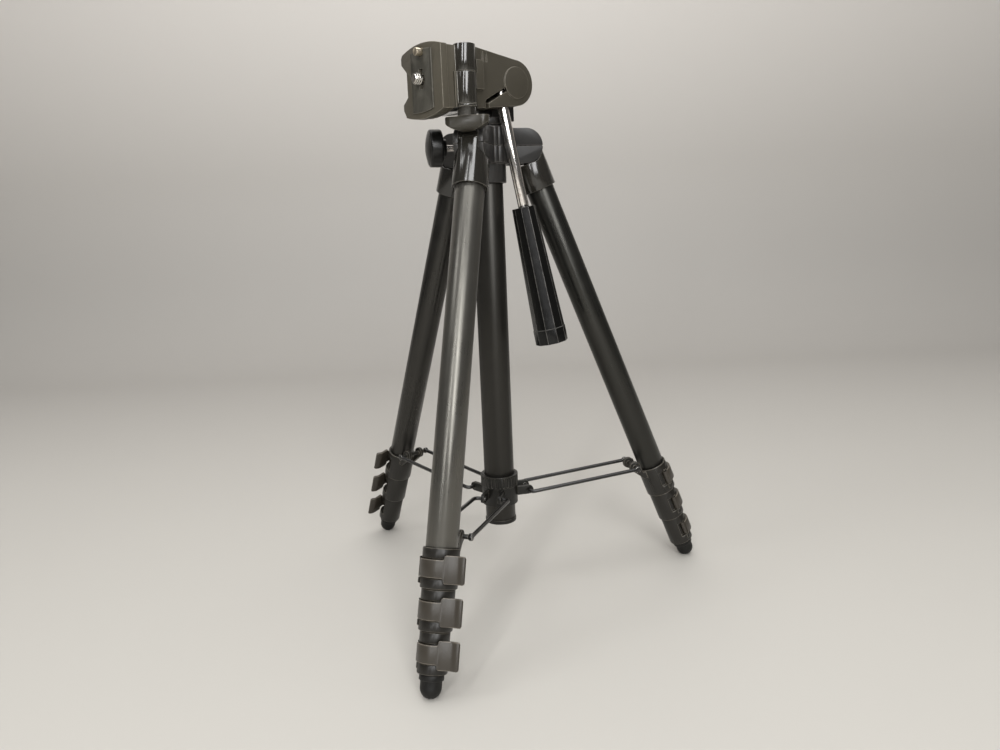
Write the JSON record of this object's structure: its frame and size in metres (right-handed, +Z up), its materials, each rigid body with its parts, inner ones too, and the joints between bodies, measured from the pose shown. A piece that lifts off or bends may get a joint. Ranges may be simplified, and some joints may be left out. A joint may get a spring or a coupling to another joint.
{
  "type": "camera tripod",
  "caption": "Compact tripod with flip-lever telescopic legs, a braced spreader, a sliding column and a pan and tilt head that flips on edge, with a hanging pan handle.",
  "frame": {"origin": "on the floor under the axis of the centre column", "axes": "+Z up along the column; leg A points along -Y, leg C is to its right and leg B to its left"},
  "size_m": [0.2418, 0.2161, 0.3287],
  "materials": {
    "hub_plastic": "fine-grained black moulded plastic",
    "bright_steel": "bright plated steel",
    "leg_alloy": "satin dark anodised tube",
    "section_alloy": "dark anodised tube, polished by sliding",
    "column_alloy": "black anodised tube",
    "sleeve_plastic": "polished black moulded plastic",
    "clamp_plastic": "satin black moulded plastic",
    "lever_plastic": "satin dark grey moulded plastic",
    "foot_rubber": "plain black rubber",
    "collar_plastic": "black moulded plastic",
    "brace_wire": "black lacquered steel wire",
    "knob_plastic": "polished black moulded plastic",
    "head_plastic": "satin dark grey moulded plastic",
    "pad_rubber": "thin ribbed rubber",
    "grip_plastic": "semi-gloss black moulded plastic",
    "screw_steel": "turned steel",
    "pin_brass": "turned bronze"
  },
  "bodies": {
    "stand": {"hub_lower": "hub_plastic", "hub_upper": "hub_plastic", "leg_pins": "bright_steel", "centre_tube": "column_alloy", "tube_end_cap": "collar_plastic"},
    "leg_a": {"sleeve_a": "sleeve_plastic", "tube1_a": "leg_alloy", "clamp1_a": "clamp_plastic"},
    "leg_b": {"sleeve_b": "sleeve_plastic", "tube1_b": "leg_alloy", "clamp1_b": "clamp_plastic"},
    "leg_c": {"sleeve_c": "sleeve_plastic", "tube1_c": "leg_alloy", "clamp1_c": "clamp_plastic"},
    "section2_a": {"tube2_a": "section_alloy", "clamp2_a": "clamp_plastic"},
    "section3_a": {"tube3_a": "section_alloy", "clamp3_a": "clamp_plastic"},
    "section4_a": {"tube4_a": "section_alloy", "foot_a": "foot_rubber"},
    "lever1_a": {"lever1_a": "lever_plastic"},
    "lever2_a": {"lever2_a": "lever_plastic"},
    "lever3_a": {"lever3_a": "lever_plastic"},
    "section2_b": {"tube2_b": "section_alloy", "clamp2_b": "clamp_plastic"},
    "section3_b": {"tube3_b": "section_alloy", "clamp3_b": "clamp_plastic"},
    "section4_b": {"tube4_b": "section_alloy", "foot_b": "foot_rubber"},
    "lever1_b": {"lever1_b": "lever_plastic"},
    "lever2_b": {"lever2_b": "lever_plastic"},
    "lever3_b": {"lever3_b": "lever_plastic"},
    "section2_c": {"tube2_c": "section_alloy", "clamp2_c": "clamp_plastic"},
    "section3_c": {"tube3_c": "section_alloy", "clamp3_c": "clamp_plastic"},
    "section4_c": {"tube4_c": "section_alloy", "foot_c": "foot_rubber"},
    "lever1_c": {"lever1_c": "lever_plastic"},
    "lever2_c": {"lever2_c": "lever_plastic"},
    "lever3_c": {"lever3_c": "lever_plastic"},
    "collar": {"brace_collar": "collar_plastic"},
    "brace_a": {"brace_arm_a": "brace_wire"},
    "brace_b": {"brace_arm_b": "brace_wire"},
    "brace_c": {"brace_arm_c": "brace_wire"},
    "column": {"inner_column": "column_alloy"},
    "column_lock": {"lock_knob": "knob_plastic", "lock_screw": "bright_steel"},
    "pan": {"pan_base": "hub_plastic", "tilt_axle": "bright_steel", "pan_screw": "screw_steel"},
    "tilt": {"tilt_housing": "head_plastic"},
    "handle": {"handle_rod": "bright_steel", "handle_grip": "grip_plastic"},
    "platform": {"platform": "head_plastic", "platform_pad": "pad_rubber"},
    "flip_lock": {"flip_knob": "head_plastic"},
    "screw": {"camera_screw": "screw_steel"},
    "pin": {"video_pin": "pin_brass"}
  },
  "joints": [
    {"name": "leg_a_fold", "type": "hinge", "parent": "stand", "child": "leg_a", "pos_m": [0, -0.0229, 0.27568], "axis": [1, 0, 0], "range_deg": [0, 19.5]},
    {"name": "leg_b_fold", "type": "hinge", "parent": "stand", "child": "leg_b", "pos_m": [-0.01983, 0.01145, 0.27568], "axis": [-0.5, -0.866, 0], "range_deg": [0, 19.5]},
    {"name": "leg_c_fold", "type": "hinge", "parent": "stand", "child": "leg_c", "pos_m": [0.01983, 0.01145, 0.27568], "axis": [-0.5, 0.866, 0], "range_deg": [0, 19.5]},
    {"name": "collar_slide", "type": "slide", "parent": "stand", "child": "collar", "axis": [0, 0, 1], "range_m": [0, 0.0689]},
    {"name": "brace_a_swing", "type": "hinge", "parent": "collar", "child": "brace_a", "pos_m": [0, -0.018, 0.0628], "axis": [1, 0, 0], "range_deg": [0, 94.88]},
    {"name": "brace_b_swing", "type": "hinge", "parent": "collar", "child": "brace_b", "pos_m": [-0.01559, 0.009, 0.0628], "axis": [-0.5, -0.866, 0], "range_deg": [0, 94.88]},
    {"name": "brace_c_swing", "type": "hinge", "parent": "collar", "child": "brace_c", "pos_m": [0.01559, 0.009, 0.0628], "axis": [-0.5, 0.866, 0], "range_deg": [0, 94.88]},
    {"name": "section2_a_slide", "type": "slide", "parent": "leg_a", "child": "section2_a", "axis": [0, -0.3697, -0.9291], "range_m": [0, 0.19]},
    {"name": "section3_a_slide", "type": "slide", "parent": "section2_a", "child": "section3_a", "axis": [0, -0.3697, -0.9291], "range_m": [0, 0.19]},
    {"name": "section4_a_slide", "type": "slide", "parent": "section3_a", "child": "section4_a", "axis": [0, -0.3697, -0.9291], "range_m": [0, 0.19]},
    {"name": "section2_b_slide", "type": "slide", "parent": "leg_b", "child": "section2_b", "axis": [-0.3202, 0.1849, -0.9291], "range_m": [0, 0.19]},
    {"name": "section3_b_slide", "type": "slide", "parent": "section2_b", "child": "section3_b", "axis": [-0.3202, 0.1849, -0.9291], "range_m": [0, 0.19]},
    {"name": "section4_b_slide", "type": "slide", "parent": "section3_b", "child": "section4_b", "axis": [-0.3202, 0.1849, -0.9291], "range_m": [0, 0.19]},
    {"name": "section2_c_slide", "type": "slide", "parent": "leg_c", "child": "section2_c", "axis": [0.3202, 0.1849, -0.9291], "range_m": [0, 0.19]},
    {"name": "section3_c_slide", "type": "slide", "parent": "section2_c", "child": "section3_c", "axis": [0.3202, 0.1849, -0.9291], "range_m": [0, 0.19]},
    {"name": "section4_c_slide", "type": "slide", "parent": "section3_c", "child": "section4_c", "axis": [0.3202, 0.1849, -0.9291], "range_m": [0, 0.19]},
    {"name": "lever1_a_flip", "type": "hinge", "parent": "leg_a", "child": "lever1_a", "pos_m": [-0.00803, -0.11298, 0.06086], "axis": [0, -0.3697, -0.9291], "range_deg": [0, 100]},
    {"name": "lever2_a_flip", "type": "hinge", "parent": "section2_a", "child": "lever2_a", "pos_m": [-0.00689, -0.12003, 0.0415], "axis": [0, -0.3697, -0.9291], "range_deg": [0, 100]},
    {"name": "lever3_a_flip", "type": "hinge", "parent": "section3_a", "child": "lever3_a", "pos_m": [-0.00574, -0.12708, 0.02213], "axis": [0, -0.3697, -0.9291], "range_deg": [0, 100]},
    {"name": "lever1_b_flip", "type": "hinge", "parent": "leg_b", "child": "lever1_b", "pos_m": [-0.09383, 0.06345, 0.06086], "axis": [-0.3202, 0.1849, -0.9291], "range_deg": [0, 100]},
    {"name": "lever2_b_flip", "type": "hinge", "parent": "section2_b", "child": "lever2_b", "pos_m": [-0.10051, 0.06598, 0.0415], "axis": [-0.3202, 0.1849, -0.9291], "range_deg": [0, 100]},
    {"name": "lever3_b_flip", "type": "hinge", "parent": "section3_b", "child": "lever3_b", "pos_m": [-0.10719, 0.06851, 0.02213], "axis": [-0.3202, 0.1849, -0.9291], "range_deg": [0, 100]},
    {"name": "lever1_c_flip", "type": "hinge", "parent": "leg_c", "child": "lever1_c", "pos_m": [0.10186, 0.04953, 0.06086], "axis": [0.3202, 0.1849, -0.9291], "range_deg": [0, 100]},
    {"name": "lever2_c_flip", "type": "hinge", "parent": "section2_c", "child": "lever2_c", "pos_m": [0.1074, 0.05405, 0.0415], "axis": [0.3202, 0.1849, -0.9291], "range_deg": [0, 100]},
    {"name": "lever3_c_flip", "type": "hinge", "parent": "section3_c", "child": "lever3_c", "pos_m": [0.11293, 0.05857, 0.02213], "axis": [0.3202, 0.1849, -0.9291], "range_deg": [0, 100]},
    {"name": "column_slide", "type": "slide", "parent": "stand", "child": "column", "axis": [0, 0, 1], "range_m": [0, 0.15]},
    {"name": "column_lock_turn", "type": "hinge", "parent": "stand", "child": "column_lock", "pos_m": [-0.01732, -0.01, 0.27568], "axis": [-0.866, -0.5, 0], "range_deg": [0, 360]},
    {"name": "pan_turn", "type": "hinge", "parent": "column", "child": "pan", "pos_m": [0, 0, 0.28728], "axis": [0, 0, 1], "range_deg": [-16, 14]},
    {"name": "head_tilt", "type": "hinge", "parent": "pan", "child": "tilt", "pos_m": [0.00407, 0.00582, 0.30918], "axis": [-0.8192, 0.5736, 0], "range_deg": [0, 18]},
    {"name": "handle_turn", "type": "hinge", "parent": "tilt", "child": "handle", "pos_m": [0.01458, -0.01021, 0.29508], "axis": [0.1684, 0.0552, -0.9842], "range_deg": [-180, 180]},
    {"name": "platform_flip", "type": "hinge", "parent": "tilt", "child": "platform", "pos_m": [0.00085, -0.03453, 0.31178], "axis": [0, 0, 1], "range_deg": [0, 90]},
    {"name": "flip_lock_turn", "type": "hinge", "parent": "tilt", "child": "flip_lock", "pos_m": [0.00085, -0.03453, 0.29548], "axis": [0, 0, 1], "range_deg": [-10, 10]},
    {"name": "camera_screw_turn", "type": "hinge", "parent": "platform", "child": "screw", "pos_m": [-0.01911, -0.0313, 0.31018], "axis": [-0.5736, -0.8192, 0], "continuous": true},
    {"name": "video_pin_press", "type": "slide", "parent": "platform", "child": "pin", "axis": [0.5736, 0.8192, 0], "range_m": [0, 0.0034], "stiffness_N_per_m": 300, "springref_m": -0.0005}
  ],
  "couplings": [
    {"joint": "leg_b_fold", "follows": "leg_a_fold", "ratio": 1},
    {"joint": "leg_c_fold", "follows": "leg_a_fold", "ratio": 1},
    {"joint": "collar_slide", "follows": "leg_a_fold", "m_per_rad": 0.20238},
    {"joint": "brace_a_swing", "follows": "leg_a_fold", "ratio": 4.8645},
    {"joint": "brace_b_swing", "follows": "leg_a_fold", "ratio": 4.8645},
    {"joint": "brace_c_swing", "follows": "leg_a_fold", "ratio": 4.8645}
  ]
}
